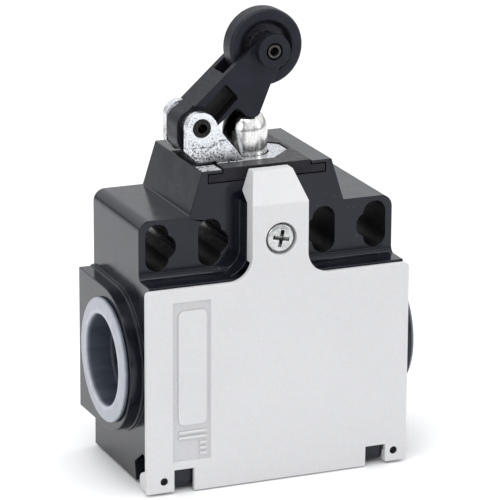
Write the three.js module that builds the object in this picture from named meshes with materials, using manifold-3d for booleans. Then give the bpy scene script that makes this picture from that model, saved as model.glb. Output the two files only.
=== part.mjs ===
// Side-entry limit switch with a pivoted roller lever, built as an assembly of
// separate pieces. Millimetres, +Z up. X runs along the body's width, Y runs
// from front (negative) to the rear mounting face at Y = 0, and Z = 0 is the
// line through the four fixing slots.
import * as THREE from 'three';
import { mergeVertices } from 'three/addons/utils/BufferGeometryUtils.js';
import Module from 'manifold-3d';

const wasm = await Module();
wasm.setup();

// ---------------------------------------------------------------- dimensions
const BODY_HALF_W = 24.5;        // housing half width
const BODY_FRONT = -23.05;       // front face of the shoulders
const BODY_TOP = 5.2;            // shoulder height
const BODY_BOTTOM = -43.6;
const TOP_EDGE_R = 2.2;          // rounding of the outer shoulder edges
const HEAD_HALF_BASE = 14.9;     // head trapezoid, at the shoulders
const HEAD_HALF_TOP = 12.45;     // head trapezoid, at its top
const HEAD_TOP = 13.07;
const RIM_FRONT = -28.1;         // front plane of the wiring chamber's rim
const RIM_TOP = -5.6;            // top ledge of the rim
const PAD_HALF_W = 5.2;          // pad behind the cover's tongue
const PAD_FRONT = -26.45;
const PAD_TOP = 7.2;
const PAD_FILLET = 4.2;

const CAVITY = { x: 20.9, y0: -28.1, y1: -3.0, z0: -36.0, z1: -9.0 };

const COND_Y = -14.3;            // conduit axis
const COND_Z = -22.5;
const BOSS_FACE = 27.4;          // |X| of the conduit boss face
const BOSS_ARC_Y = -13.2;
const BOSS_R = 13.2;
const COND_BORE_R = 9.6;
const CAP_FLANGE_R = 11.4;
const CAP_MOUTH_R = 8.3;

const SLOT_X = [11, 21];         // fixing slots: 22 and 42 mm apart
const SLOT_R = 2.15;
const SLOT_HALF_H = 4.3;
const LOBE_R = 2.2;
const LOBE_DX = 1.35;

const COVER_FRONT = -29.3;
const COVER_BACK = -28.25;
const COVER_LEFT = -25.5;
const COVER_RIGHT = 25.2;
const COVER_BOTTOM = -43.9;
const COVER_SHOULDER = -5.95;
const TONGUE_HALF_W = 5.4;
const TONGUE_CREASE = 7.65;
const TONGUE_TOP = 12.9;
const TONGUE_TOP_HALF_W = 3.75;
const SCREW_X = 0.15;
const SCREW_Z = 1.2;

const HINGE_Y = -26.3;           // cover hinge axis, along X
const HINGE_Z = -42.0;
const LUG_R = 1.6;

const YC = -12.5;                // mid plane of plunger, lever and roller
const PLUNGER_X = 0;
const PLUNGER_R = 4.1;           // polished head, with a hemispherical dome
const PLUNGER_DOME_Z = 17.4;     // centre of the dome
const PLUNGER_NECK_R = 2.45;
const PLUNGER_HEAD_BOTTOM = 11.8;
const PLUNGER_RATIO = 11;        // plunger travel in mm for each radian of the lever

const PIVOT_X = -10.69;          // lever pivot
const PIVOT_Z = 19.68;
const ROLLER_X = 3.35;           // roller axis
const ROLLER_Z = 32.28;
const ROLLER_R = 7.0;
const ROLLER_HALF_W = 2.05;
const EAR_T = 2.0;               // bracket ears
const EAR_GAP = 4.25;            // mid plane to an ear's inner face
const LEVER_HALF_W = 3.55;
const BARREL_HALF_W = 2.55;
const FORK_HALF_GAP = 2.2;
const BOSS_OUT = 5.68;           // mid plane to the roller boss face

const BLOCK_X = PLUNGER_X;       // centre of the contact block

// ------------------------------------------------------------------- helpers
const deg = Math.PI / 180;

function cleaned(geometry) {
  const g = geometry.index ? geometry.toNonIndexed() : geometry;
  g.deleteAttribute('normal');
  g.deleteAttribute('uv');
  const m = mergeVertices(g, 1e-4);
  const src = m.index.array;
  const p = m.attributes.position;
  const out = [];
  let volume = 0;
  const a = new THREE.Vector3(), b = new THREE.Vector3(), c = new THREE.Vector3();
  for (let i = 0; i < src.length; i += 3) {
    const [i0, i1, i2] = [src[i], src[i + 1], src[i + 2]];
    if (i0 === i1 || i1 === i2 || i2 === i0) continue;
    out.push(i0, i1, i2);
    a.fromBufferAttribute(p, i0); b.fromBufferAttribute(p, i1); c.fromBufferAttribute(p, i2);
    volume += a.dot(b.cross(c)) / 6;
  }
  if (volume < 0) for (let i = 0; i < out.length; i += 3) [out[i], out[i + 1]] = [out[i + 1], out[i]];
  m.setIndex(out);
  return m;
}

function solid(geometry) {
  const m = cleaned(geometry);
  return new wasm.Manifold(new wasm.Mesh({
    numProp: 3,
    vertProperties: new Float32Array(m.attributes.position.array),
    triVerts: new Uint32Array(m.index.array),
  }));
}

function join(...solids) { return solids.reduce((s, t) => s.add(t)); }
function cut(base, ...tools) { return tools.reduce((s, t) => s.subtract(t), base); }

function fromSolid(s) {
  const mesh = s.getMesh();
  const g = new THREE.BufferGeometry();
  g.setAttribute('position', new THREE.BufferAttribute(new Float32Array(mesh.vertProperties), 3));
  g.setIndex(Array.from(mesh.triVerts));
  return g;
}

function arc(cx, cy, r, a0, a1, n) {
  const pts = [];
  for (let i = 0; i <= n; i++) {
    const a = (a0 + (a1 - a0) * i / n) * deg;
    pts.push([cx + r * Math.cos(a), cy + r * Math.sin(a)]);
  }
  return pts;
}
const shapeOf = (pts) => new THREE.Shape(pts.map(([x, y]) => new THREE.Vector2(x, y)));
const extrude = (pts, depth) => new THREE.ExtrudeGeometry(shapeOf(pts), { depth, bevelEnabled: false, steps: 1 });

// an XZ outline between two Y planes
function prismY(pts, y0, y1) {
  const g = extrude(pts, y1 - y0);
  g.rotateX(Math.PI / 2);
  g.translate(0, y1, 0);
  return solid(g);
}
// a YZ outline between two X planes
function prismX(pts, x0, x1) {
  const g = extrude(pts, x1 - x0);
  g.applyMatrix4(new THREE.Matrix4().makeBasis(
    new THREE.Vector3(0, 1, 0), new THREE.Vector3(0, 0, 1), new THREE.Vector3(1, 0, 0)));
  g.translate(x0, 0, 0);
  return solid(g);
}
// an XY outline between two Z planes
function prismZ(pts, z0, z1) {
  const g = extrude(pts, z1 - z0);
  g.translate(0, 0, z0);
  return solid(g);
}
function block(x0, x1, y0, y1, z0, z1) {
  const g = new THREE.BoxGeometry(x1 - x0, y1 - y0, z1 - z0);
  g.translate((x0 + x1) / 2, (y0 + y1) / 2, (z0 + z1) / 2);
  return solid(g);
}
function rodY(x, z, r, y0, y1, n = 24) {
  const g = new THREE.CylinderGeometry(r, r, y1 - y0, n);
  g.translate(x, (y0 + y1) / 2, z);
  return solid(g);
}
function rodX(y, z, r, x0, x1, n = 24) {
  const g = new THREE.CylinderGeometry(r, r, x1 - x0, n);
  g.rotateZ(-Math.PI / 2);
  g.translate((x0 + x1) / 2, y, z);
  return solid(g);
}
function rodZ(x, y, r, z0, z1, n = 24) {
  const g = new THREE.CylinderGeometry(r, r, z1 - z0, n);
  g.rotateX(Math.PI / 2);
  g.translate(x, y, (z0 + z1) / 2);
  return solid(g);
}
// closed profile of [radius, height along the axis], turned about a Z, Y or X axis
function turned(axis, pts, origin, n = 32) {
  const g = new THREE.LatheGeometry([...pts, pts[0]].map(([r, h]) => new THREE.Vector2(r, h)), n);
  if (axis === 'z') g.rotateX(Math.PI / 2);
  if (axis === 'x') g.rotateZ(-Math.PI / 2);
  g.translate(...origin);
  return solid(g);
}
// tube between two Y planes
const tubeY = (x, z, ro, ri, y0, y1, n = 24) => turned('y', [[ri, y0], [ro, y0], [ro, y1], [ri, y1]], [x, 0, z], n);
const tubeZ = (x, y, ro, ri, z0, z1, n = 24) => turned('z', [[ri, z0], [ro, z0], [ro, z1], [ri, z1]], [x, y, 0], n);

class Helix extends THREE.Curve {
  constructor(x, y, r, z0, z1, turns) { super(); Object.assign(this, { x, y, r, z0, z1, turns }); }
  getPoint(t, target = new THREE.Vector3()) {
    const a = 2 * Math.PI * this.turns * t;
    // the pitch flattens at both ends so that the spring sits square
    const s = t < 0.12 ? t * 0.35 : t > 0.88 ? 1 - (1 - t) * 0.35 : 0.042 + (t - 0.12) * (1 - 0.084) / 0.76;
    return target.set(this.x + this.r * Math.cos(a), this.y + this.r * Math.sin(a), this.z0 + (this.z1 - this.z0) * s);
  }
}
function spring(x, y, r, wire, z0, z1, turns) {
  const ring = new THREE.Shape(arc(0, 0, wire / 2, 0, 300, 5).map(([a, b]) => new THREE.Vector2(a, b)));
  const path = new Helix(x, y, r, z0 + wire / 2 + 0.03, z1 - wire / 2 - 0.03, turns);
  return solid(new THREE.ExtrudeGeometry(ring, { steps: Math.round(turns * 12), extrudePath: path, bevelEnabled: false }));
}

const group = new THREE.Group();
const paint = {
  black: { color: 0x1b1b1e, roughness: 0.3, metalness: 0 },
  darkPlastic: { color: 0x232327, roughness: 0.45, metalness: 0 },
  grey: { color: 0xd9dade, roughness: 0.5, metalness: 0 },
  cap: { color: 0xc9d3dc, roughness: 0.35, metalness: 0 },
  zinc: { color: 0xc4c7ca, roughness: 0.4, metalness: 0.8 },
  steel: { color: 0xb9bbbd, roughness: 0.3, metalness: 0.9 },
  darkSteel: { color: 0x2a2a2c, roughness: 0.4, metalness: 0.7 },
  nickel: { color: 0xd4d3cf, roughness: 0.15, metalness: 1 },
  brass: { color: 0xb8954a, roughness: 0.3, metalness: 0.9 },
  rubber: { color: 0x141414, roughness: 0.8, metalness: 0 },
  cream: { color: 0xcfc9b8, roughness: 0.55, metalness: 0 },
  red: { color: 0x8d2f25, roughness: 0.5, metalness: 0 },
  silver: { color: 0xdadada, roughness: 0.25, metalness: 1 },
};
function add(name, s, look) {
  const mesh = new THREE.Mesh(fromSolid(s), new THREE.MeshStandardMaterial(paint[look]));
  mesh.name = name;
  group.add(mesh);
}

// ------------------------------------------------------------------- housing
{
  const upper = prismY([
    [-BODY_HALF_W, BODY_BOTTOM], [BODY_HALF_W, BODY_BOTTOM],
    ...arc(BODY_HALF_W - TOP_EDGE_R, BODY_TOP - TOP_EDGE_R, TOP_EDGE_R, 0, 90, 6),
    [HEAD_HALF_BASE, BODY_TOP], [HEAD_HALF_TOP, HEAD_TOP],
    [8.55, HEAD_TOP], [8.55, 12.48], [11.35, 12.48], [11.35, 10.75],
    [-11.35, 10.75], [-11.35, 12.48], [-8.55, 12.48], [-8.55, HEAD_TOP],
    [-HEAD_HALF_TOP, HEAD_TOP], [-HEAD_HALF_BASE, BODY_TOP],
    ...arc(-BODY_HALF_W + TOP_EDGE_R, BODY_TOP - TOP_EDGE_R, TOP_EDGE_R, 90, 180, 6),
  ], BODY_FRONT, 0);
  // wiring-chamber rim; its lower front edge is rounded about the hinge axis
  const rim = prismX([
    [-20, BODY_BOTTOM], [-20, RIM_TOP + 1.2], [BODY_FRONT, RIM_TOP + 1.2],
    ...arc(BODY_FRONT - 1.2, RIM_TOP + 1.2, 1.2, 0, -90, 4),
    [RIM_FRONT, RIM_TOP], [RIM_FRONT, HINGE_Z + 0.7],
    ...arc(HINGE_Y, HINGE_Z, 1.75, 184, 244, 5),
    [HINGE_Y, BODY_BOTTOM],
  ], -BODY_HALF_W, BODY_HALF_W);
  const padOutline = (sx) => arc(sx * (PAD_HALF_W + PAD_FILLET), RIM_TOP + PAD_FILLET, PAD_FILLET,
    sx > 0 ? 270 : 270, sx > 0 ? 180 : 360, 6);
  const pad = prismY([
    [-12, RIM_TOP - 3], [12, RIM_TOP - 3], [12, RIM_TOP],
    ...padOutline(1), [PAD_HALF_W, PAD_TOP], [-PAD_HALF_W, PAD_TOP],
    ...padOutline(-1).reverse(), [-12, RIM_TOP],
  ], PAD_FRONT, BODY_FRONT + 1);
  const bossOutline = [
    [0, COND_Z - BOSS_R - 0.1], [0, COND_Z + BOSS_R + 0.1],
    ...arc(BOSS_ARC_Y, COND_Z, BOSS_R, 90, 270, 28),
  ];
  const scaled = (k) => bossOutline.map(([y, z]) => [y >= 0 ? 0 : BOSS_ARC_Y + (y - BOSS_ARC_Y) * k, COND_Z + (z - COND_Z) * k]);
  let body = join(upper, rim, pad,
    prismX(bossOutline, -BOSS_FACE, -24), prismX(bossOutline, 24, BOSS_FACE),
    prismX(scaled(1.045), -25.1, -24), prismX(scaled(1.045), 24, 25.1));

  const chamber = CAVITY;
  body = cut(body,
    block(-chamber.x, chamber.x, -30, chamber.y1, chamber.z0, chamber.z1),
    block(-15.6, 15.6, -30, chamber.y1, -40.2, chamber.z0 + 1),
    rodX(COND_Y, COND_Z, COND_BORE_R, -30, -20, 36),
    rodX(COND_Y, COND_Z, COND_BORE_R, 20, 30, 36));

  // fixing slots with a second, offset position towards the middle
  for (const sx of [-1, 1]) for (const x of SLOT_X) {
    const slot = [
      ...arc(sx * x, SLOT_HALF_H - SLOT_R, SLOT_R, 0, 180, 8),
      ...arc(sx * x, -SLOT_HALF_H + SLOT_R, SLOT_R, 180, 360, 8),
    ];
    body = cut(body, prismY(slot, -40, 2), rodY(sx * (x - LOBE_DX), 0, LOBE_R, -40, 2, 20));
  }

  // plunger passage: bush pocket, guide bore, spring chamber
  body = cut(body,
    rodZ(PLUNGER_X, YC, 5.0, 4.4, 14, 28),
    rodZ(PLUNGER_X, YC, 2.75, 0.5, 5, 24),
    rodZ(PLUNGER_X, YC, 4.4, -10, 1.0, 28));
  // cover-screw insert seat
  body = cut(body, rodY(SCREW_X, SCREW_Z, 2.47, -28, -19.9, 24));
  // contact-block screw holes in the rear wall
  for (const x of [-10, 10]) body = cut(body, rodY(BLOCK_X + x, -23.5, 1.15, -4, -0.9, 14));

  // corner recesses in which the cover's hinge lugs swing
  const recess = [[-32, -37.4], [-24.3, -37.6], [-20.6, -40.1], [-21.6, -45], [-32, -45]];
  body = cut(body, prismX(recess, -26, -20.1), prismX(recess, 20.8, 26));
  // hinge pin bores
  body = cut(body, rodX(HINGE_Y, HINGE_Z, 0.85, -21, -16.95, 16), rodX(HINGE_Y, HINGE_Z, 0.85, 16.95, 21.5, 16));
  add('housing', body, 'black');
}

// --------------------------------------------------------------- front cover
{
  const fillet = (sx) => arc(sx * (TONGUE_HALF_W + 4.1), COVER_SHOULDER + 4.1, 4.1, 270, sx > 0 ? 180 : 360, 6);
  const outline = [
    [COVER_LEFT + 0.5, COVER_BOTTOM], [-20.2, COVER_BOTTOM], [-20.2, -39.6], [-16.4, -39.6], [-16.4, COVER_BOTTOM],
    [17.1, COVER_BOTTOM], [17.1, -40.2], [21.0, -40.2], [21.0, COVER_BOTTOM], [COVER_RIGHT - 0.5, COVER_BOTTOM],
    [COVER_RIGHT, COVER_BOTTOM + 0.5],
    ...arc(COVER_RIGHT - 0.9, COVER_SHOULDER - 0.9, 0.9, 0, 90, 3),
    ...fillet(1), [TONGUE_HALF_W, TONGUE_CREASE], [TONGUE_TOP_HALF_W, TONGUE_TOP],
    [-TONGUE_TOP_HALF_W, TONGUE_TOP], [-TONGUE_HALF_W, TONGUE_CREASE],
    ...fillet(-1).reverse(),
    ...arc(COVER_LEFT + 0.9, COVER_SHOULDER - 0.9, 0.9, 90, 180, 3),
    [COVER_LEFT, COVER_BOTTOM + 0.5],
  ];
  // side profile: thin plate, thicker tongue, and the hooded top of the tongue
  const plate = prismY(outline, COVER_FRONT, COVER_BACK);
  const tongueOutline = [
    [-TONGUE_HALF_W, -3.0], [TONGUE_HALF_W, -3.0], [TONGUE_HALF_W, TONGUE_CREASE],
    [TONGUE_TOP_HALF_W, TONGUE_TOP], [-TONGUE_TOP_HALF_W, TONGUE_TOP], [-TONGUE_HALF_W, TONGUE_CREASE],
  ];
  const tongueDeep = prismY(tongueOutline, COVER_FRONT, -23.2);
  const tongueSide = prismX([
    [COVER_FRONT, -3.0], [-26.6, -3.0], [-26.6, 7.6], [-23.2, 9.0], [-23.2, TONGUE_TOP],
    [-25.6, TONGUE_TOP], [COVER_FRONT, TONGUE_CREASE],
  ], -8, 8);
  const above = prismX([[COVER_FRONT - 1, TONGUE_CREASE], [COVER_FRONT, TONGUE_CREASE], [-25.6, TONGUE_TOP], [-25.6, 20], [COVER_FRONT - 1, 20]], -8, 8);
  const pan = cut(block(-20.6, 20.6, COVER_BACK - 0.1, -26.6, -35.7, -9.3), block(-19.4, 19.4, -30, -20, -34.5, -10.5));
  const lugOutline = [
    [COVER_FRONT, -39.0], [COVER_FRONT, -43.1], [COVER_FRONT + 0.4, HINGE_Z - LUG_R],
    ...arc(HINGE_Y, HINGE_Z, LUG_R, 270, 430, 12), [COVER_BACK, -39.4], [COVER_BACK, -39.0],
  ];
  let cover = join(plate, tongueDeep.intersect(tongueSide));
  cover = cut(cover, above);
  cover = join(cover, pan);
  cover = cut(cover, block(-26, -20.2, -31, -22, -46, HINGE_Z - LUG_R), block(21.0, 26, -31, -22, -46, HINGE_Z - LUG_R));
  cover = join(cover, prismX(lugOutline, COVER_LEFT + 0.35, -20.35), prismX(lugOutline, 21.05, COVER_RIGHT - 0.2));
  cover = cut(cover,
    rodX(HINGE_Y, HINGE_Z, 0.98, -25.0, -20, 16), rodX(HINGE_Y, HINGE_Z, 0.98, 20.8, 24.8, 16),
    rodY(-22.15, -41.5, 0.7, -30, -28.7, 12), rodY(22.7, -41.6, 0.7, -30, -28.7, 12),
    rodY(SCREW_X, SCREW_Z, 2.95, -31, -28.1, 28), rodY(SCREW_X, SCREW_Z, 1.75, -31, -26, 20),
    block(-20.4, -13.25, -31, COVER_FRONT + 0.3, -38.2, -8.5));
  add('front_cover', cover, 'grey');
}

// gasket ring between rim and cover, resting on the chamber's rim
{
  const ring = cut(block(-20.75, 20.75, -28.22, -28.12, -43, -7.2),
    block(-20.0, 20.0, -29, -27, -36.6, -8.4), block(-30, 30, -30, -20, -50, -37.0));
  add('cover_gasket', cut(join(
    cut(block(-22.6, 22.6, -28.22, -28.12, -37.2, -7.4), block(-21.1, 21.1, -29, -27, -36.2, -8.8))), block(40, 41, 0, 1, 0, 1)), 'rubber');
}

// cover screw (cross recess), captive in the tongue
{
  const head = turned('y', [[0, -29.12], [2.3, -29.12], [2.72, -28.8], [2.72, -28.3], [1.42, -28.15], [1.42, -24.2], [1.0, -22.6], [0, -22.6]],
    [SCREW_X, 0, SCREW_Z], 28);
  const a = 12 * deg;
  const arm = (r) => {
    const g = new THREE.BoxGeometry(3.1, 2.0, 0.62);
    g.rotateY(r);
    g.translate(SCREW_X, -29.2, SCREW_Z);
    return solid(g);
  };
  add('cover_screw', cut(head, arm(a), arm(a + Math.PI / 2)), 'steel');
  add('cover_insert', tubeY(SCREW_X, SCREW_Z, 2.42, 1.8, -26.4, -20.2, 24), 'brass');
}

// cover hinge pins
add('hinge_pin_left', rodX(HINGE_Y, HINGE_Z, 0.8, -24.8, -17.05, 16), 'steel');
add('hinge_pin_right', rodX(HINGE_Y, HINGE_Z, 0.8, 17.05, 24.6, 16), 'steel');

// conduit caps: cup-shaped plugs with a flange
for (const [name, sx] of [['conduit_cap_left', -1], ['conduit_cap_right', 1]]) {
  const prof = [
    [0, 17.9], [0, 18.8], [7.5, 18.8], [8.3, 27.0], [CAP_MOUTH_R, 28.15], [9.0, 28.45], [9.9, 28.25],
    [CAP_FLANGE_R - 0.3, 28.25], [CAP_FLANGE_R, 27.95], [CAP_FLANGE_R, 27.45], [9.35, 27.45], [9.2, 26.6], [8.5, 17.9],
  ].map(([r, h]) => [r, sx * h]);
  add(name, turned('x', sx > 0 ? prof : prof.slice().reverse(), [0, COND_Y, COND_Z], 36), 'cap');
}

// ----------------------------------------------------------------- head
// T-shaped slide-in head plate
{
  let plate = prismY([
    [-11.2, 10.85], [11.2, 10.85], [11.2, 12.35], [8.4, 12.35], [8.4, 13.3], [-8.4, 13.3], [-8.4, 12.35], [-11.2, 12.35],
  ], -23.0, -0.8);
  const seat = [[-8.5, -19.35], [2.75, -19.35], [7.6, -14.5], [7.6, -10.5], [2.75, -5.65], [-8.5, -5.65]];
  plate = cut(plate, prismZ(seat, 12.15, 14), rodZ(PLUNGER_X, YC, PLUNGER_R + 0.2, 10, 14, 36));
  add('head_plate', plate, 'black');
}

// zinc-plated bracket: octagonal base with two ears
{
  const base = prismZ([[-7.9, -19.2], [2.7, -19.2], [7.45, -14.45], [7.45, -10.55], [2.7, -5.8], [-7.9, -5.8]], 12.2, 13.1);
  const ear = [
    [-11.73, 13.45], [-7.9, 13.45], [-7.9, 12.2], [-2.9, 12.2], [-2.9, 13.2], [-3.48, 14.18], [-5.8, 17.17], [-8.05, 20.9],
    ...arc(PIVOT_X, PIVOT_Z, 2.8, 28, 180, 12), [-13.49, 15.37],
  ];
  const yo = EAR_GAP + EAR_T;
  let br = join(base, prismY(ear, YC - yo, YC - EAR_GAP), prismY(ear, YC + EAR_GAP, YC + yo));
  br = cut(br, rodY(PIVOT_X, PIVOT_Z, 1.66, -25, 0, 24), rodZ(PLUNGER_X, YC, PLUNGER_R + 0.2, 10, 14, 36));
  add('lever_bracket', br, 'zinc');
}
add('lever_pin', tubeY(PIVOT_X, PIVOT_Z, 1.6, 0.8, YC - 6.45, YC + 6.45, 24), 'darkSteel');
add('lever_spacer_front', tubeY(PIVOT_X, PIVOT_Z, 2.4, 1.7, YC - EAR_GAP + 0.05, YC - BARREL_HALF_W - 0.07, 24), 'steel');
add('lever_spacer_rear', tubeY(PIVOT_X, PIVOT_Z, 2.4, 1.7, YC + BARREL_HALF_W + 0.07, YC + EAR_GAP - 0.05, 24), 'steel');

// roller lever
{
  const outline = [
    ...arc(ROLLER_X, ROLLER_Z, 2.75, 131.8, -22.2, 10),
    [5.1, 28.5], [3.56, 25.94], [2.42, 23.1], [1.5, 20.85], [1.1, 20.28], [0.3, 20.05], [-0.5, 20.12], [-1.15, 20.45],
    [-1.83, 21.11], [-2.45, 21.75], [-3.18, 21.97], [-3.95, 21.31], [-6.44, 19.34], [-8.7, 17.1],
    ...arc(-10.9, 17.4, 3.2, -35, -180, 8), ...arc(-10.9, 19.3, 3.2, 180, 128, 4), [-12.0, 22.26],
  ];
  let lever = prismY(outline, YC - LEVER_HALF_W, YC + LEVER_HALF_W);
  const boss = (y0, y1) => rodY(ROLLER_X, ROLLER_Z, 3.02, y0, y1, 28);
  lever = join(lever, boss(YC - BOSS_OUT, YC - LEVER_HALF_W + 0.5), boss(YC + LEVER_HALF_W - 0.5, YC + BOSS_OUT));
  // fork slot for the roller
  const g = FORK_HALF_GAP;
  lever = cut(lever, rodY(ROLLER_X, ROLLER_Z, 7.7, YC - g, YC + g, 32),
    prismY([[-5.35, 28.6], [-3.5, 26.55], [2, 28], [2, 36], [-8.4, 31.6]], YC - g, YC + g));
  // pockets on both sides, leaving a middle web
  const pocket = [[-5.69, 26.1], [-4.93, 26.4], [-2.85, 24.14], [-3.19, 23.44], [-7.7, 18.9], [-9.9, 21.9]];
  lever = cut(lever, prismY(pocket, YC - 5, YC - 1.0), prismY(pocket, YC + 1.0, YC + 5));
  // narrowed barrel between the ears
  for (const [a, b] of [[YC - 5, YC - BARREL_HALF_W], [YC + BARREL_HALF_W, YC + 5]])
    lever = cut(lever, prismY([...arc(-10.9, 17.4, 3.6, 0, -180, 10), ...arc(-10.9, 19.5, 3.6, 180, 0, 10)], a, b));
  lever = cut(lever, rodY(PIVOT_X, PIVOT_Z, 1.7, YC - 7, YC + 7, 24), rodY(ROLLER_X, ROLLER_Z, 1.34, YC - 7, YC + 7, 24),
    rodY(ROLLER_X, ROLLER_Z, 1.55, YC - 7, YC - BOSS_OUT + 0.8, 24), rodY(ROLLER_X, ROLLER_Z, 1.55, YC + BOSS_OUT - 0.8, YC + 7, 24));
  // hollow under the nose in which the plunger's dome sits, swept over the lever's travel
  for (const turn of [0, 5.5, 11, 16.5, 22]) {
    const a = turn * deg;
    const x = PLUNGER_X - PIVOT_X, z = PLUNGER_DOME_Z - PIVOT_Z - PLUNGER_RATIO * a;
    const sphere = turned('z', arc(0, 0, PLUNGER_R + 0.18, -90, 90, 12).map(([r, h]) => [Math.max(r, 0), h]),
      [PIVOT_X + x * Math.cos(a) - z * Math.sin(a), YC, PIVOT_Z + x * Math.sin(a) + z * Math.cos(a)], 32);
    lever = cut(lever, sphere);
  }
  add('roller_lever', lever, 'darkPlastic');
}

// roller, dished on both sides
{
  const w = ROLLER_HALF_W;
  const prof = [
    [1.38, -w + 0.1], [2.5, -w + 0.1], [2.9, -0.6], [4.2, -0.6], [4.6, -1.0], [4.95, -w], [6.55, -w], [ROLLER_R, -w + 0.45],
    [ROLLER_R, w - 0.45], [6.55, w], [4.95, w], [4.6, 1.0], [4.2, 0.6], [2.9, 0.6], [2.5, w - 0.1], [1.38, w - 0.1],
  ];
  add('roller', turned('y', prof, [ROLLER_X, YC, ROLLER_Z], 48), 'darkPlastic');
  add('roller_pin', tubeY(ROLLER_X, ROLLER_Z, 1.26, 0.78, YC - 5.62, YC + 5.62, 24), 'steel');
}

// ------------------------------------------------------------ plunger group
add('plunger', turned('z', [
  [0, -9.6], [1.9, -9.6], [1.9, -1.5], [3.7, -1.5], [3.7, 0.6], [PLUNGER_NECK_R, 0.6], [PLUNGER_NECK_R, PLUNGER_HEAD_BOTTOM],
  [PLUNGER_R, PLUNGER_HEAD_BOTTOM], ...arc(0, PLUNGER_DOME_Z, PLUNGER_R, 0, 90, 10).map(([r, h]) => [Math.max(r, 0), h]),
], [PLUNGER_X, YC, 0], 32), 'nickel');
add('plunger_bush', turned('z', [[2.6, 5.7], [4.9, 5.7], [4.9, 7.4], [2.6, 7.4]], [PLUNGER_X, YC, 0], 28), 'brass');
add('plunger_seal', turned('z', [[2.55, 4.95], [3.1, 4.5], [4.85, 4.5], [4.85, 5.6], [3.1, 5.6], [2.55, 5.25]], [PLUNGER_X, YC, 0], 28), 'rubber');
add('plunger_spring', spring(PLUNGER_X, YC, 3.2, 0.6, -7.95, -1.55, 3), 'steel');
add('spring_seat', tubeZ(PLUNGER_X, YC, 4.33, 2.7, -8.9, -8.0, 28), 'steel');

// ------------------------------------------------------------ contact block
const bx = (a, b, ...rest) => block(BLOCK_X + a, BLOCK_X + b, ...rest);
const NC_T = [-17.9, -16.9];     // fixed contact tongues
const NO_T = [-30.5, -29.5];
{
  let base = join(
    bx(-12.9, 12.9, -6.2, -3.05, -35.5, -11.5),
    bx(-6.6, -5.2, -17.0, -6.0, -35.5, -11.5), bx(5.2, 6.6, -17.0, -6.0, -35.5, -11.5),
    bx(-6.6, 6.6, -17.0, -6.0, -35.5, -34.0));
  for (const s of [-1, 1]) for (const z of [[-20.5, -13.5], [-33.5, -26.5]]) {
    const [a, b] = s > 0 ? [6.5, 12.9] : [-12.9, -6.5];
    base = join(base, bx(a, b, -14.5, -6.0, ...z));
  }
  for (const t of [NC_T, NO_T]) base = cut(base,
    bx(-6.65, -5, -18, -9.3, t[0] - 0.3, t[1] + 0.3), bx(5, 6.65, -18, -9.3, t[0] - 0.3, t[1] + 0.3));
  for (const s of [-1, 1]) {
    for (const z of [-17, -30]) base = cut(base, rodY(BLOCK_X + s * 10.2, z, 1.5, -16, -9.8, 14));
    base = cut(base, rodY(BLOCK_X + s * 10, -23.5, 1.3, -8, -2, 14));
  }
  add('contact_block_base', base, 'cream');

  let lid = join(bx(-6.6, 6.6, -18.3, -17.1, -35.5, -11.5));
  lid = cut(lid, bx(-3.2, 3.2, -19, -17, -27.5, -19.5));
  add('contact_block_cover', lid, 'cream');
}
// push rod carrying the moving contacts
{
  let rod = join(bx(-2.3, 2.3, YC - 2.3, YC + 2.3, -28.3, -10.9), rodZ(BLOCK_X, YC, 2.2, -11.5, -9.75, 20));
  rod = cut(rod, bx(-3, 3, YC - 1.6, YC + 1.6, -21.6, -17.95), bx(-3, 3, YC - 1.6, YC + 1.6, -26.5, -22.9));
  add('contact_push_rod', rod, 'red');
}
const bridge = (z0, z1) => join(bx(-4.9, 4.9, YC - 1.5, YC + 1.5, z0, z1));
add('nc_bridge', bridge(-18.6, -18.0), 'silver');
add('no_bridge', bridge(-26.4, -25.8), 'silver');
add('nc_contact_spring', spring(BLOCK_X, YC, 1.05, 0.36, -21.58, -18.65, 3), 'steel');
add('no_contact_spring', spring(BLOCK_X, YC, 1.05, 0.36, -25.75, -22.92, 3), 'steel');
add('rod_return_spring', spring(BLOCK_X, YC, 1.7, 0.42, -33.95, -28.35, 3.5), 'steel');

// fixed terminals, clamp plates and terminal screws
for (const [kind, t, zc] of [['nc', NC_T, -17], ['no', NO_T, -30]]) for (const s of [-1, 1]) {
  const side = s < 0 ? 'left' : 'right';
  const sp = (a, b, ...rest) => (s > 0 ? bx(a, b, ...rest) : bx(-b, -a, ...rest));
  let term = join(
    sp(7.0, 12.7, -15.6, -14.6, zc - 3.2, zc + 3.2),
    sp(6.3, 7.2, -15.6, -14.6, ...t),
    sp(2.9, 6.4, -15.6, -9.6, ...t));
  const hx = BLOCK_X + s * 10.2;
  term = cut(term, rodY(hx, zc, 1.5, -17, -13, 14));
  add(`terminal_${kind}_${side}`, term, 'brass');
  add(`clamp_plate_${kind}_${side}`, cut(sp(7.4, 12.5, -17.0, -16.1, zc - 2.8, zc + 2.8), rodY(hx, zc, 1.5, -18, -15, 14)), 'zinc');
  const screw = turned('y', [[0, -18.7], [2.0, -18.7], [2.3, -18.4], [2.3, -17.1], [1.38, -17.1], [1.38, -10.2], [0, -10.2]], [hx, 0, zc], 18);
  const g = new THREE.BoxGeometry(5, 1.4, 0.6);
  g.rotateY(s * 35 * deg + zc);
  g.translate(hx, -18.9, zc);
  add(`terminal_screw_${kind}_${side}`, cut(screw, solid(g)), 'zinc');
}
for (const [name, s] of [['block_screw_left', -1], ['block_screw_right', 1]]) {
  const hx = BLOCK_X + s * 10;
  const screw = turned('y', [[0, -7.9], [2.0, -7.9], [2.2, -7.7], [2.2, -6.3], [1.1, -6.3], [1.1, -1.2], [0, -1.2]], [hx, 0, -23.5], 18);
  const g = new THREE.BoxGeometry(5, 1.2, 0.6);
  g.translate(hx, -8.0, -23.5);
  add(name, cut(screw, solid(g)), 'steel');
}

export default group;
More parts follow.
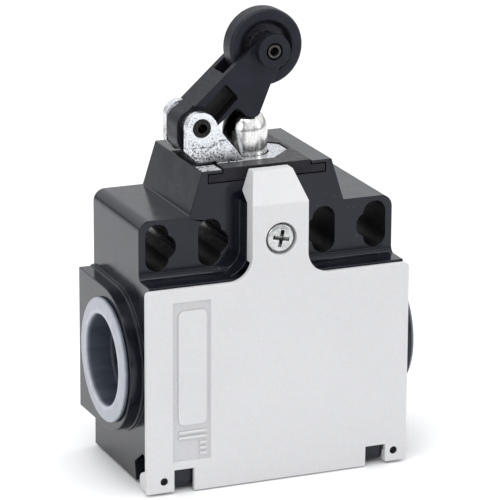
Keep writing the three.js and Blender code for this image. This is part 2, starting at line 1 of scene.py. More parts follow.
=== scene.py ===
# Looks for the side-entry limit switch: refined pieces, procedural materials, studio light and camera.
# Geometry is worked out in millimetres in the part's own frame and written to the meshes in metres.
import math
import bpy
import bmesh
from mathutils import Matrix, Vector


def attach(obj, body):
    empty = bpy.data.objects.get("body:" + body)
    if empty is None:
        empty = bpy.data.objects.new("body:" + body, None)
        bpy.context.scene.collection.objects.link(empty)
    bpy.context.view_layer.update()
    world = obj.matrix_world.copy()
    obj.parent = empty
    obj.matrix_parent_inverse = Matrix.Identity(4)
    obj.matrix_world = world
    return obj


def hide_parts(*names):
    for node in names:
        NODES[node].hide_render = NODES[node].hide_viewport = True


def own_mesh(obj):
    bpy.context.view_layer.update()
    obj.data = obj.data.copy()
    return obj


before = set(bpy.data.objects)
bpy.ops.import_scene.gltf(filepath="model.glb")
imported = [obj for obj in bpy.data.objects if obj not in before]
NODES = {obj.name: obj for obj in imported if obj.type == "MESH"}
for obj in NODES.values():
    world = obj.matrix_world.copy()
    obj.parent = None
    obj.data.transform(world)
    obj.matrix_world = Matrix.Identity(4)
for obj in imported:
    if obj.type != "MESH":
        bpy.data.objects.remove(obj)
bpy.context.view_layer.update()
SCENE = bpy.context.scene
DEG = math.pi / 180.0


# ---------------------------------------------------------------- mesh helpers (mm)
def arc(cx, cy, r, a0, a1, n):
    return [(cx + r * math.cos((a0 + (a1 - a0) * i / n) * DEG),
             cy + r * math.sin((a0 + (a1 - a0) * i / n) * DEG)) for i in range(n + 1)]


def from_lists(verts, faces):
    me = bpy.data.meshes.new("tmp")
    me.from_pydata(verts, [], faces)
    bm = bmesh.new()
    bm.from_mesh(me)
    bmesh.ops.remove_doubles(bm, verts=bm.verts, dist=1e-5)
    bmesh.ops.recalc_face_normals(bm, faces=bm.faces)
    bm.to_mesh(me)
    bm.free()
    return me


def tidy(pts):
    out = []
    for p in pts:
        if not out or math.hypot(p[0] - out[-1][0], p[1] - out[-1][1]) > 1e-4:
            out.append(p)
    if math.hypot(out[0][0] - out[-1][0], out[0][1] - out[-1][1]) < 1e-4:
        out.pop()
    return out


def prism(axis, pts, lo, hi):
    pts = tidy(pts)
    place = {"x": lambda a, b, h: (h, a, b), "y": lambda a, b, h: (a, h, b), "z": lambda a, b, h: (a, b, h)}[axis]
    n = len(pts)
    verts = [place(a, b, lo) for a, b in pts] + [place(a, b, hi) for a, b in pts]
    faces = [list(range(n)), list(range(n, 2 * n))]
    faces += [[i, (i + 1) % n, n + (i + 1) % n, n + i] for i in range(n)]
    return from_lists(verts, faces)


def box(x0, x1, y0, y1, z0, z1):
    return prism("z", [(x0, y0), (x1, y0), (x1, y1), (x0, y1)], z0, z1)


def turned(axis, prof, origin, n=64):
    """A closed profile of (radius, height) turned about an axis through origin."""
    place = {
        "x": lambda r, h, a: (origin[0] + h, origin[1] + r * math.cos(a), origin[2] + r * math.sin(a)),
        "y": lambda r, h, a: (origin[0] + r * math.cos(a), origin[1] + h, origin[2] + r * math.sin(a)),
        "z": lambda r, h, a: (origin[0] + r * math.cos(a), origin[1] + r * math.sin(a), origin[2] + h),
    }[axis]
    prof = tidy(prof)
    verts, rings, faces = [], [], []
    for r, h in prof:
        if r < 1e-6:
            rings.append([len(verts)])
            verts.append(place(0, h, 0))
        else:
            rings.append(list(range(len(verts), len(verts) + n)))
            verts += [place(r, h, 2 * math.pi * i / n) for i in range(n)]
    for k in range(len(rings)):
        a, b = rings[k], rings[(k + 1) % len(rings)]
        if len(a) == 1 and len(b) == 1:
            continue
        for i in range(n):
            j = (i + 1) % n
            if len(a) == 1:
                faces.append([a[0], b[i], b[j]])
            elif len(b) == 1:
                faces.append([a[i], b[0], a[j]])
            else:
                faces.append([a[i], b[i], b[j], a[j]])
    return from_lists(verts, faces)


def rod(axis, u, v, r, h0, h1, n=48):
    """A cylinder along an axis; u and v are the other two coordinates, in X Y Z order."""
    origin = {"x": (0, u, v), "y": (u, 0, v), "z": (u, v, 0)}[axis]
    return turned(axis, [(0, h0), (r, h0), (r, h1), (0, h1)], origin, n)


def csg(base, tools, operation):
    for tool in tools:
        oa = bpy.data.objects.new("csg_a", base)
        ob = bpy.data.objects.new("csg_b", tool)
        SCENE.collection.objects.link(oa)
        SCENE.collection.objects.link(ob)
        mod = oa.modifiers.new("cut", "BOOLEAN")
        mod.operation = operation
        mod.solver = "MANIFOLD"
        mod.object = ob
        graph = bpy.context.evaluated_depsgraph_get()
        out = bpy.data.meshes.new_from_object(oa.evaluated_get(graph))
        bpy.data.objects.remove(oa)
        bpy.data.objects.remove(ob)
        bpy.data.meshes.remove(base)
        if tool.users == 0:
            bpy.data.meshes.remove(tool)
        base = out
    return base


def join(base, *tools):
    return csg(base, tools, "UNION")


def cut(base, *tools):
    return csg(base, tools, "DIFFERENCE")


def common(base, *tools):
    return csg(base, tools, "INTERSECT")


def cleaned(me, merge=0.012, flat=0.6):
    bm = bmesh.new()
    bm.from_mesh(me)
    bmesh.ops.remove_doubles(bm, verts=bm.verts, dist=merge)
    bmesh.ops.dissolve_degenerate(bm, edges=bm.edges, dist=merge)
    bmesh.ops.dissolve_limit(bm, angle_limit=flat * DEG, verts=bm.verts, edges=bm.edges,
                             use_dissolve_boundaries=False, delimit=set())
    bm.to_mesh(me)
    bm.free()
    return me


def rounded(me, width, segments=3, angle=28.0, clean=True, split=False, facing=-2.0, planes=()):
    """Every edge sharper than angle gets a small radius, in real geometry."""
    if clean:
        cleaned(me)
    if split:
        # large flat faces with holes are cut into triangles first, so that none folds over itself
        bm = bmesh.new()
        bm.from_mesh(me)
        for name, value in planes:
            across = Vector([1.0 if c == name else 0.0 for c in "xyz"])
            bmesh.ops.bisect_plane(bm, geom=bm.verts[:] + bm.edges[:] + bm.faces[:], dist=1e-4,
                                   plane_co=across * value, plane_no=across)
        bm.normal_update()
        bmesh.ops.triangulate(bm, faces=[f for f in bm.faces if len(f.verts) > 4 and f.normal.y > facing], ngon_method="BEAUTY")
        bm.to_mesh(me)
        bm.free()
    for p in me.polygons:
        p.use_smooth = True
    ob = bpy.data.objects.new("round", me)
    SCENE.collection.objects.link(ob)
    mod = ob.modifiers.new("bevel", "BEVEL")
    mod.width = width
    mod.segments = segments
    mod.limit_method = "ANGLE"
    mod.angle_limit = angle * DEG
    mod.use_clamp_overlap = False
    mod.miter_outer = "MITER_SHARP"
    mod.harden_normals = False
    graph = bpy.context.evaluated_depsgraph_get()
    out = bpy.data.meshes.new_from_object(ob.evaluated_get(graph))
    bpy.data.objects.remove(ob)
    bpy.data.meshes.remove(me)
    return out


def shaded(me):
    for p in me.polygons:
        p.use_smooth = True
    ob = bpy.data.objects.new("shade", me)
    SCENE.collection.objects.link(ob)
    mod = ob.modifiers.new("weighted", "WEIGHTED_NORMAL")
    mod.mode = "FACE_AREA"
    mod.weight = 80
    mod.keep_sharp = True
    graph = bpy.context.evaluated_depsgraph_get()
    out = bpy.data.meshes.new_from_object(ob.evaluated_get(graph))
    bpy.data.objects.remove(ob)
    bpy.data.meshes.remove(me)
    return out


def piece(name, me, mat, body, replaces=()):
    me.transform(Matrix.Scale(0.001, 4))
    me.name = name
    ob = bpy.data.objects.new(name, me)
    SCENE.collection.objects.link(ob)
    me.materials.clear()
    me.materials.append(mat)
    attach(ob, body)
    if replaces:
        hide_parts(*replaces)
    return ob


# ----------------------------------------------------------------- dimensions
BODY_HALF_W, BODY_FRONT, BODY_TOP, BODY_BOTTOM = 24.5, -23.05, 5.2, -43.6
TOP_EDGE_R, HEAD_HALF_BASE, HEAD_HALF_TOP, HEAD_TOP = 2.2, 14.9, 12.45, 13.07
RIM_FRONT, RIM_TOP = -28.1, -5.6
PAD_HALF_W, PAD_FRONT, PAD_TOP, PAD_FILLET = 5.2, -26.45, 7.2, 4.2
COND_Y, COND_Z, BOSS_FACE, BOSS_ARC_Y, BOSS_R, COND_BORE_R = -14.3, -22.5, 27.4, -13.2, 13.2, 9.6
CAP_FLANGE_R, CAP_MOUTH_R = 11.4, 8.3
SLOT_R, SLOT_HALF_H, LOBE_R, LOBE_DX = 2.15, 4.3, 2.2, 1.35
COVER_FRONT, COVER_BACK, COVER_LEFT, COVER_RIGHT = -29.3, -28.25, -25.5, 25.2
COVER_BOTTOM, COVER_SHOULDER = -43.9, -5.95
TONGUE_HALF_W, TONGUE_CREASE, TONGUE_TOP, TONGUE_TOP_HALF_W = 5.4, 7.65, 12.9, 3.75
SCREW_X, SCREW_Z = 0.15, 1.2
HINGE_Y, HINGE_Z, LUG_R = -26.3, -42.0, 1.6
YC = -12.5
PLUNGER_X, PLUNGER_R, PLUNGER_NECK_R, PLUNGER_DOME_Z, PLUNGER_RATIO = 0.0, 4.1, 2.45, 17.2, 11.0
PIVOT_X, PIVOT_Z = -10.69, 19.68
ROLLER_X, ROLLER_Z, ROLLER_R, ROLLER_HALF_W = 3.35, 32.28, 7.0, 2.05
EAR_T, EAR_GAP = 2.0, 4.25
LEVER_HALF_W, BARREL_HALF_W, FORK_HALF_GAP, BOSS_OUT = 3.55, 2.55, 2.2, 5.68
BLOCK_X = PLUNGER_X


# ------------------------------------------------------------------ materials
class Mat:
    """A node material whose textures are laid out in millimetres of the part's own frame."""

    def __init__(self, name):
        self.m = bpy.data.materials.new(name)
        self.m.use_nodes = True
        self.t = self.m.node_tree
        self.t.nodes.clear()
        self.out = self.t.nodes.new("ShaderNodeOutputMaterial")
        self.bsdf = self.t.nodes.new("ShaderNodeBsdfPrincipled")
        self.t.links.new(self.bsdf.outputs[0], self.out.inputs[0])
        self.tc = self.t.nodes.new("ShaderNodeTexCoord")
        self.mm = self.t.nodes.new("ShaderNodeMapping")
        self.mm.inputs["Scale"].default_value = (1000, 1000, 1000)
        self.t.links.new(self.tc.outputs["Object"], self.mm.inputs["Vector"])

    def link(self, a, b):
        self.t.links.new(a, b)

    def set(self, **kw):
        for k, v in kw.items():
            self.bsdf.inputs[k.replace("_", " ")].default_value = v
        return self

    def stretch(self, sx, sy, sz):
        n = self.t.nodes.new("ShaderNodeMapping")
        n.inputs["Scale"].default_value = (sx, sy, sz)
        self.link(self.mm.outputs[0], n.inputs["Vector"])
        return n.outputs[0]

    def noise(self, scale, detail=3.0, rough=0.55, vec=None, distortion=0.0):
        n = self.t.nodes.new("ShaderNodeTexNoise")
        n.inputs["Scale"].default_value = scale
        n.inputs["Detail"].default_value = detail
        n.inputs["Roughness"].default_value = rough
        n.inputs["Distortion"].default_value = distortion
        self.link(vec or self.mm.outputs[0], n.inputs["Vector"])
        return n.outputs[0]

    def cells(self, scale, vec=None):
        n = self.t.nodes.new("ShaderNodeTexVoronoi")
        n.inputs["Scale"].default_value = scale
        self.link(vec or self.mm.outputs[0], n.inputs["Vector"])
        return n.outputs["Distance"]

    def ramp(self, fac, *stops):
        n = self.t.nodes.new("ShaderNodeValToRGB")
        el = n.color_ramp.elements
        while len(el) < len(stops):
            el.new(0.5)
        for e, (pos, col) in zip(el, stops):
            e.position = pos
            e.color = (*col, 1) if isinstance(col, tuple) else (col, col, col, 1)
        self.link(fac, n.inputs[0])
        return n.outputs[0]

    def mix(self, fac, a, b):
        n = self.t.nodes.new("ShaderNodeMix")
        n.data_type = "RGBA"
        self.link(fac, n.inputs[0])
        for i, v in ((6, a), (7, b)):
            if isinstance(v, tuple):
                n.inputs[i].default_value = (*v, 1)
            else:
                self.link(v, n.inputs[i])
        return n.outputs[2]

    def math(self, op, a, b):
        n = self.t.nodes.new("ShaderNodeMath")
        n.operation = op
        for i, v in ((0, a), (1, b)):
            if isinstance(v, (int, float)):
                n.inputs[i].default_value = v
            else:
                self.link(v, n.inputs[i])
        return n.outputs[0]

    def axis(self, which):
        n = self.t.nodes.new("ShaderNodeSeparateXYZ")
        self.link(self.mm.outputs[0], n.inputs[0])
        return n.outputs["XYZ".index(which)]

    def span(self, value, lo, hi):
        n = self.t.nodes.new("ShaderNodeMapRange")
        n.clamp = True
        self.link(value, n.inputs["Value"])
        n.inputs["From Min"].default_value = lo
        n.inputs["From Max"].default_value = hi
        return n.outputs[0]

    def inside(self, **limits):
        """1 inside a box given by X=(lo, hi) and so on, with edges 0.15 mm soft, 0 outside."""
        out = None
        for name, (lo, hi) in limits.items():
            a = self.axis(name)
            m = self.math("MULTIPLY", self.span(a, lo - 0.07, lo + 0.07), self.span(a, hi + 0.07, hi - 0.07))
            out = m if out is None else self.math("MULTIPLY", out, m)
        return out

    def colour(self, s):
        self.link(s, self.bsdf.inputs["Base Color"])
        return self

    def roughness(self, fac, lo, hi):
        n = self.t.nodes.new("ShaderNodeMapRange")
        self.link(fac, n.inputs["Value"])
        n.inputs["From Min"].default_value = 0.3
        n.inputs["From Max"].default_value = 0.7
        n.inputs["To Min"].default_value = lo
        n.inputs["To Max"].default_value = hi
        self.link(n.outputs[0], self.bsdf.inputs["Roughness"])
        return self

    def bumps(self, *layers):
        normal = None
        for height, strength, mm in layers:
            n = self.t.nodes.new("ShaderNodeBump")
            n.inputs["Strength"].default_value = strength
            n.inputs["Distance"].default_value = mm / 1000
            self.link(height, n.inputs["Height"])
            if normal is not None:
                self.link(normal, n.inputs["Normal"])
            normal = n.outputs[0]
        self.link(normal, self.bsdf.inputs["Normal"])
        return self


def gloss_black():
    s = Mat("moulded_black_gloss")
    s.set(IOR=1.43, Specular_Tint=(0.90, 0.93, 1.0, 1.0))
    broad = s.noise(0.12, 3)
    base = s.ramp(broad, (0.35, (0.0036, 0.0040, 0.0080)), (0.65, (0.0066, 0.0071, 0.0120)))
    dust = s.ramp(s.cells(0.62), (0.0, 1.0), (0.045, 1.0), (0.075, 0.0))
    where = s.ramp(s.noise(0.11, 2), (0.5, 0.0), (0.6, 1.0))
    dusty = s.mix(s.math("MULTIPLY", dust, where), base, (0.16, 0.155, 0.145))
    # a painted reflection of the bracket's bright ear, speckled, on the top strip in front of it
    painted_ear_reflection = s.math("MULTIPLY", s.inside(X=(-12.35, -8.75), Y=(-22.9, -19.3), Z=(12.95, 13.4)),
                 s.ramp(s.noise(2.1, 5, 0.7), (0.42, 0.0), (0.50, 1.0)))
    s.colour(s.mix(painted_ear_reflection, dusty, (0.50, 0.505, 0.51)))
    s.roughness(s.noise(0.35, 4), 0.12, 0.22)
    s.bumps((s.noise(0.22, 2), 0.25, 0.05), (s.noise(3.2, 3), 0.08, 0.01))
    return s.m


def dull_shaded_black():
    s = Mat("moulded_black_bore_shaded")
    s.set(IOR=1.38)
    # a little darker than the skin it lines: painted shade in bores and pockets; the duller roughness is the moulded
    # finish
    s.colour(s.ramp(s.noise(0.6, 4), (0.35, (0.0030, 0.0030, 0.0036)), (0.65, (0.0058, 0.0058, 0.0066))))
    s.roughness(s.noise(1.2, 4), 0.42, 0.6)
    s.bumps((s.noise(2.0, 3), 0.2, 0.02))
    return s.m


def worn_black():
    s = Mat("moulded_black_worn")
    s.set(IOR=1.33, Specular_Tint=(0.90, 0.90, 1.0, 1.0))
    base = s.ramp(s.noise(0.3, 5, 0.65), (0.38, (0.0040, 0.0040, 0.0056)), (0.62, (0.0110, 0.0108, 0.0128)))
    s.colour(base)
    s.roughness(s.noise(0.9, 5), 0.22, 0.42)
    s.bumps((s.noise(2.4, 4), 0.18, 0.02))
    return s.m


def satin_black(name, lo, hi, grain, r0, r1):
    s = Mat(name)
    s.set(IOR=1.38, Specular_Tint=(0.82, 0.86, 1.0, 1.0))
    s.colour(s.ramp(s.noise(0.35, 5, 0.6), (0.36, lo), (0.64, hi)))
    s.roughness(s.noise(1.6, 4), r0, r1)
    s.bumps((s.noise(grain, 3), 0.22, 0.02), (s.noise(0.5, 2), 0.12, 0.04))
    return s.m


def roller_black():
    """Satin plastic with a little dry grease and dust round the hub."""
    s = Mat("satin_charcoal_roller")
    s.set(IOR=1.39, Specular_Tint=(0.82, 0.85, 1.0, 1.0))
    dx = s.math("SUBTRACT", s.axis("X"), ROLLER_X)
    dz = s.math("SUBTRACT", s.axis("Z"), ROLLER_Z)
    rad = s.math("SQRT", s.math("ADD", s.math("MULTIPLY", dx, dx), s.math("MULTIPLY", dz, dz)), 0.0)
    near = s.span(rad, 5.4, 3.4)
    base = s.ramp(s.noise(0.35, 5, 0.6), (0.36, (0.0042, 0.0042, 0.0078)), (0.64, (0.0080, 0.0080, 0.0125)))
    fleck = s.ramp(s.noise(3.6, 5, 0.7), (0.50, 0.0), (0.62, 1.0))
    s.colour(s.mix(s.math("MULTIPLY", s.math("MULTIPLY", fleck, near), 0.55), base, (0.085, 0.083, 0.08)))
    s.roughness(s.noise(1.6, 4), 0.34, 0.50)
    s.bumps((s.noise(3.0, 3), 0.22, 0.02), (s.noise(0.5, 2), 0.12, 0.04))
    return s.m


def cover_grey():
    s = Mat("moulded_light_grey")
    s.set(IOR=1.47)
    broad = s.noise(0.05, 3)
    fine = s.noise(2.2, 4, 0.6)
    base = s.ramp(broad, (0.35, (0.552, 0.552, 0.562)), (0.65, (0.578, 0.578, 0.588)))
    fleck = s.ramp(fine, (0.30, (0.512, 0.512, 0.522)), (0.50, (0.566, 0.566, 0.576)), (0.72, (0.606, 0.606, 0.616)))
    skin = s.mix(s.ramp(fine, (0.3, 0.25), (0.7, 0.45)), base, fleck)
    # the sunk label field is a little darker than the skin round it
    field = s.inside(X=(-20.35, -13.3), Y=(-29.15, -28.6), Z=(-38.15, -8.55))
    # the lug's small holes are painted near-black inside: painted shade in the holes
    holes = s.math("ADD", s.inside(X=(-22.95, -21.35), Y=(-29.1, -27.75), Z=(-42.3, -40.7)),
                   s.inside(X=(21.9, 23.5), Y=(-29.1, -27.75), Z=(-42.4, -40.8)))
    skin = s.mix(holes, skin, (0.05, 0.05, 0.05))
    s.colour(s.mix(s.math("MULTIPLY", field, 0.7), skin, s.ramp(fine, (0.3, (0.435, 0.435, 0.448)), (0.7, (0.490, 0.490, 0.503)))))
    s.roughness(s.noise(0.8, 4), 0.42, 0.55)
    s.bumps((s.noise(3.0, 3), 0.22, 0.02))
    return s.m


def cap_plastic():
    s = Mat("natural_polyethylene")
    s.set(IOR=1.36)
    # the colour darkens deeper into the cup along X, pale only at the flange: painted shade inside the cup
    depth = s.math("ABSOLUTE", s.axis("X"), 0.0)
    t = s.span(depth, 19.0, 28.4)
    mott = s.noise(0.5, 4, 0.6, s.stretch(0.35, 1, 1))
    deep = s.ramp(t, (0.0, (0.020, 0.025, 0.038)), (0.45, (0.026, 0.032, 0.047)), (0.90, (0.050, 0.060, 0.082)),
                  (0.945, (0.12, 0.135, 0.165)), (0.975, (0.36, 0.378, 0.42)), (1.0, (0.46, 0.478, 0.52)))
    pale = s.ramp(t, (0.0, (0.032, 0.039, 0.056)), (0.45, (0.042, 0.050, 0.070)), (0.90, (0.070, 0.082, 0.106)),
                  (0.945, (0.17, 0.187, 0.22)), (0.975, (0.43, 0.448, 0.49)), (1.0, (0.54, 0.558, 0.60)))
    s.colour(s.mix(s.ramp(mott, (0.35, 0.0), (0.65, 1.0)), deep, pale))
    s.roughness(mott, 0.36, 0.52)
    s.set(Transmission_Weight=0.12)
    s.bumps((s.noise(1.6, 3), 0.15, 0.03))
    return s.m


def zinc():
    s = Mat("zinc_plated_steel")
    s.set(Metallic=1.0)
    n1 = s.noise(2.7, 5, 0.72)
    n2 = s.noise(0.35, 3, 0.5)
    # pitting is heaviest low on the ears and towards their outer edge
    low = s.span(s.axis("Z"), 19.5, 12.0)
    left = s.span(s.axis("X"), -2.5, -9.0)
    n3 = s.noise(1.25, 4, 0.6)
    shift = s.math("ADD", n1, s.math("MULTIPLY", s.math("SUBTRACT", s.math("MULTIPLY", low, left), 0.30), -0.135))
    shift = s.math("ADD", shift, s.math("MULTIPLY", s.math("SUBTRACT", n2, 0.5), 0.16))
    shift = s.math("ADD", shift, s.math("MULTIPLY", s.math("SUBTRACT", n3, 0.5), 0.22))
    plate = s.ramp(shift, (0.34, (0.060, 0.058, 0.057)), (0.41, (0.26, 0.26, 0.26)), (0.46, (0.66, 0.68, 0.71)),
                   (0.60, (0.80, 0.82, 0.86)), (0.74, (0.90, 0.91, 0.94)))
    # painted shade along the step across the front ear, broken up by noise
    step = s.math("ADD", s.math("MULTIPLY", s.span(s.axis("X"), -8.7, -7.4), 0.98), 16.19)
    off = s.math("ABSOLUTE", s.math("SUBTRACT", s.axis("Z"), step), 0.0)
    painted_step_shade = s.math("MULTIPLY", s.span(off, 0.16, 0.05), s.inside(X=(-11.2, -6.2), Y=(-19.2, -18.2)))
    painted_step_shade = s.math("MULTIPLY", painted_step_shade, s.span(s.noise(1.4, 3), 0.35, 0.55))
    s.colour(s.mix(painted_step_shade, plate, (0.07, 0.068, 0.066)))
    s.roughness(s.noise(2.2, 4), 0.24, 0.40)
    s.bumps((n1, 0.35, 0.05), (n2, 0.2, 0.05))
    return s.m


def plated(name, a, b, r0, r1, scale=1.6, metal=0.95):
    s = Mat(name)
    s.set(Metallic=metal)
    s.colour(s.ramp(s.noise(scale, 5, 0.65), (0.34, a), (0.66, b)))
    s.roughness(s.noise(scale * 1.3, 4), r0, r1)
    s.bumps((s.noise(scale * 2.0, 4), 0.12, 0.02))
    return s.m


def screw_steel():
    """Bright screw, darker deeper in along Y, in the cross and round the head's edge: painted shade, mottled by noise.
    """
    s = Mat("bright_screw_steel")
    s.set(Metallic=0.95)
    bright = s.ramp(s.noise(1.6, 5, 0.65), (0.34, (0.42, 0.43, 0.43)), (0.66, (0.66, 0.67, 0.67)))
    # painted shade: darker deeper in along Y
    deep = s.span(s.axis("Y"), -29.0, -28.75)
    s.colour(s.mix(s.math("MULTIPLY", deep, s.span(s.noise(2.2, 3), 0.2, 0.5)), bright, (0.17, 0.168, 0.160)))
    s.roughness(s.noise(2.1, 4), 0.16, 0.30)
    s.bumps((s.noise(3.2, 4), 0.12, 0.02))
    return s.m


def nickel():
    s = Mat("polished_nickel")
    s.set(Metallic=1.0)
    streak = s.noise(1.3, 4, 0.6, s.stretch(2.2, 2.2, 0.22))
    speck = s.noise(4.6, 4, 0.7)
    low = s.span(s.axis("Z"), 15.6, 13.2)
    spots = s.math("ADD", speck, s.math("MULTIPLY", low, -0.13))
    base = s.ramp(streak, (0.32, (0.62, 0.62, 0.60)), (0.5, (0.80, 0.80, 0.78)), (0.68, (0.90, 0.90, 0.88)))
    spotted = s.mix(s.ramp(spots, (0.335, 1.0), (0.39, 0.0)), base, (0.10, 0.098, 0.095))
    # a painted dark reflection of the lever and head plate on the side turned to the bracket's ear, with one dark
    # streak of it down the middle
    side = s.math("SUBTRACT", s.math("MULTIPLY", s.axis("X"), 0.922), s.math("MULTIPLY", s.math("ADD", s.axis("Y"), 12.5), 0.386))
    side = s.math("ADD", side, s.math("MULTIPLY", s.math("SUBTRACT", s.noise(0.8, 3), 0.5), 1.3))
    painted_dark_reflection = s.ramp(s.span(side, -4.0, 4.0), (0.0, 1.0), (0.27, 1.0), (0.33, 0.12), (0.41, 0.10), (0.46, 0.72), (0.50, 0.35), (0.56, 0.0), (1.0, 0.0))
    s.colour(s.mix(painted_dark_reflection, spotted, (0.030, 0.030, 0.026)))
    s.roughness(streak, 0.11, 0.24)
    s.bumps((streak, 0.10, 0.03))
    return s.m


def rubber():
    s = Mat("moulded_rubber")
    s.set(IOR=1.5)
    s.colour(s.ramp(s.noise(1.2, 4), (0.35, (0.011, 0.011, 0.011)), (0.65, (0.022, 0.022, 0.021))))
    s.roughness(s.noise(1.5, 3), 0.6, 0.85)
    s.bumps((s.noise(3.5, 3), 0.3, 0.03))
    return s.m


def moulded(name, a, b, r0=0.42, r1=0.6):
    s = Mat(name)
    s.set(IOR=1.48)
    s.colour(s.ramp(s.noise(0.5, 5, 0.6), (0.36, a), (0.64, b)))
    s.roughness(s.noise(1.4, 4), r0, r1)
    s.bumps((s.noise(3.0, 3), 0.2, 0.02))
    return s.m


M = {
    "black": gloss_black(),
    "plate": worn_black(),
    "bore": dull_shaded_black(),
    "lever": satin_black("satin_charcoal_lever", (0.0036, 0.0036, 0.0068), (0.0074, 0.0074, 0.0116), 3.4, 0.36, 0.52),
    "roller": roller_black(),
    "cover": cover_grey(),
    "cap": cap_plastic(),
    "zinc": zinc(),
    "steel": plated("bright_plated_steel", (0.50, 0.51, 0.51), (0.72, 0.73, 0.73), 0.18, 0.34),
    "screw": screw_steel(),
    "ring": plated("dull_steel_ring", (0.040, 0.039, 0.036), (0.105, 0.103, 0.095), 0.34, 0.52, 3.0),
    "blacksteel": plated("blackened_steel", (0.010, 0.0095, 0.009), (0.030, 0.029, 0.027), 0.26, 0.42, 2.4, 0.85),
    "nickel": nickel(),
    "brass": plated("turned_brass", (0.60, 0.44, 0.19), (0.80, 0.62, 0.30), 0.20, 0.36),
    "silver": plated("silver_alloy", (0.74, 0.74, 0.73), (0.90, 0.90, 0.89), 0.14, 0.28),
    "rubber": rubber(),
    "cream": moulded("moulded_cream", (0.55, 0.51, 0.41), (0.66, 0.62, 0.52)),
    "red": moulded("moulded_red", (0.36, 0.040, 0.028), (0.50, 0.070, 0.045)),
}

# -------------------------------------------------------------------- housing
def make_housing():
    upper = prism("y", [
        (-BODY_HALF_W, BODY_BOTTOM), (BODY_HALF_W, BODY_BOTTOM),
        *arc(BODY_HALF_W - TOP_EDGE_R, BODY_TOP - TOP_EDGE_R, TOP_EDGE_R, 0, 90, 10),
        (HEAD_HALF_BASE, BODY_TOP), (HEAD_HALF_TOP, HEAD_TOP),
        (8.55, HEAD_TOP), (8.55, 12.48), (11.35, 12.48), (11.35, 10.75),
        (-11.35, 10.75), (-11.35, 12.48), (-8.55, 12.48), (-8.55, HEAD_TOP),
        (-HEAD_HALF_TOP, HEAD_TOP), (-HEAD_HALF_BASE, BODY_TOP),
        *arc(-BODY_HALF_W + TOP_EDGE_R, BODY_TOP - TOP_EDGE_R, TOP_EDGE_R, 90, 180, 10),
    ], BODY_FRONT, 0)
    rim = prism("x", [
        (-20, BODY_BOTTOM), (-20, RIM_TOP + 1.2), (BODY_FRONT, RIM_TOP + 1.2),
        *arc(BODY_FRONT - 1.2, RIM_TOP + 1.2, 1.2, 0, -90, 8),
        (RIM_FRONT, RIM_TOP), (RIM_FRONT, HINGE_Z + 0.7),
        *arc(HINGE_Y, HINGE_Z, 1.75, 184, 244, 8),
        (HINGE_Y, BODY_BOTTOM),
    ], -BODY_HALF_W, BODY_HALF_W)
    right = arc(PAD_HALF_W + PAD_FILLET, RIM_TOP + PAD_FILLET, PAD_FILLET, 270, 180, 12)
    left = arc(-PAD_HALF_W - PAD_FILLET, RIM_TOP + PAD_FILLET, PAD_FILLET, 270, 360, 12)
    pad = prism("y", [
        (-12, RIM_TOP - 3), (12, RIM_TOP - 3), (12, RIM_TOP), *right,
        (PAD_HALF_W, PAD_TOP), (-PAD_HALF_W, PAD_TOP), *left[::-1], (-12, RIM_TOP),
    ], PAD_FRONT, BODY_FRONT + 1)
    outline = [(0, COND_Z - BOSS_R - 0.1), (0, COND_Z + BOSS_R + 0.1),
               *arc(BOSS_ARC_Y, COND_Z, BOSS_R, 90, 270, 56)]
    wide = [(0 if y >= 0 else BOSS_ARC_Y + (y - BOSS_ARC_Y) * 1.022, COND_Z + (z - COND_Z) * 1.022) for y, z in outline]
    body = join(upper, rim, pad,
                prism("x", outline, -BOSS_FACE, -24), prism("x", outline, 24, BOSS_FACE),
                prism("x", wide, -25.1, -24), prism("x", wide, 24, 25.1))
    body = cut(body,
               box(-20.9, 20.9, -30, -3.0, -36.0, -9.0),
               box(-15.6, 15.6, -30, -3.0, -40.2, -35.0),
               rod("x", COND_Y, COND_Z, COND_BORE_R, -30, -20, 72),
               rod("x", COND_Y, COND_Z, COND_BORE_R, 20, 30, 72))
    for sx in (-1, 1):
        for x in (11, 21):
            slot = arc(sx * x, SLOT_HALF_H - SLOT_R, SLOT_R, 0, 180, 16) + arc(sx * x, -SLOT_HALF_H + SLOT_R, SLOT_R, 180, 360, 16)
            body = cut(body, prism("y", slot, -40, 2), rod("y", sx * (x - LOBE_DX), 0, LOBE_R, -40, 2, 36))
    body = cut(body,
               rod("z", PLUNGER_X, YC, 5.0, 4.4, 14, 48),
               rod("z", PLUNGER_X, YC, 2.75, 0.5, 5, 40),
               rod("z", PLUNGER_X, YC, 4.4, -10, 1.0, 48),
               rod("y", SCREW_X, SCREW_Z, 2.47, -28, -19.9, 40))
    for x in (-10, 10):
        body = cut(body, rod("y", BLOCK_X + x, -23.5, 1.15, -4, -0.9, 20))
    recess = [(-32, -37.4), (-24.3, -37.6), (-20.6, -40.1), (-21.6, -45), (-32, -45)]
    body = cut(body, prism("x", recess, -26, -20.1), prism("x", recess, 20.8, 26),
               rod("x", HINGE_Y, HINGE_Z, 0.85, -21, -16.95, 24), rod("x", HINGE_Y, HINGE_Z, 0.85, 16.95, 21.5, 24))
    return shaded(rounded(body, 0.15, 3, split=True,
                          planes=(("z", 9.1), ("z", 4.75), ("z", -4.9), ("x", -15.3), ("x", 15.3), ("x", -6.9), ("x", 6.9))))


HOUSING = piece("housing_shell", make_housing(), M["black"], "body", ["housing"])
# the walls of the fixing slots are as moulded, duller than the polished outside, and painted a little darker as shade
HOUSING.data.materials.append(M["bore"])
for face in HOUSING.data.polygons:
    fx, fy, fz = (c * 1000 for c in face.center)
    if -22.75 < fy < -0.2 and abs(fz) < 4.4 and (abs(abs(fx) - 10.6) < 3.0 or abs(abs(fx) - 20.6) < 3.0):
        face.material_index = 1


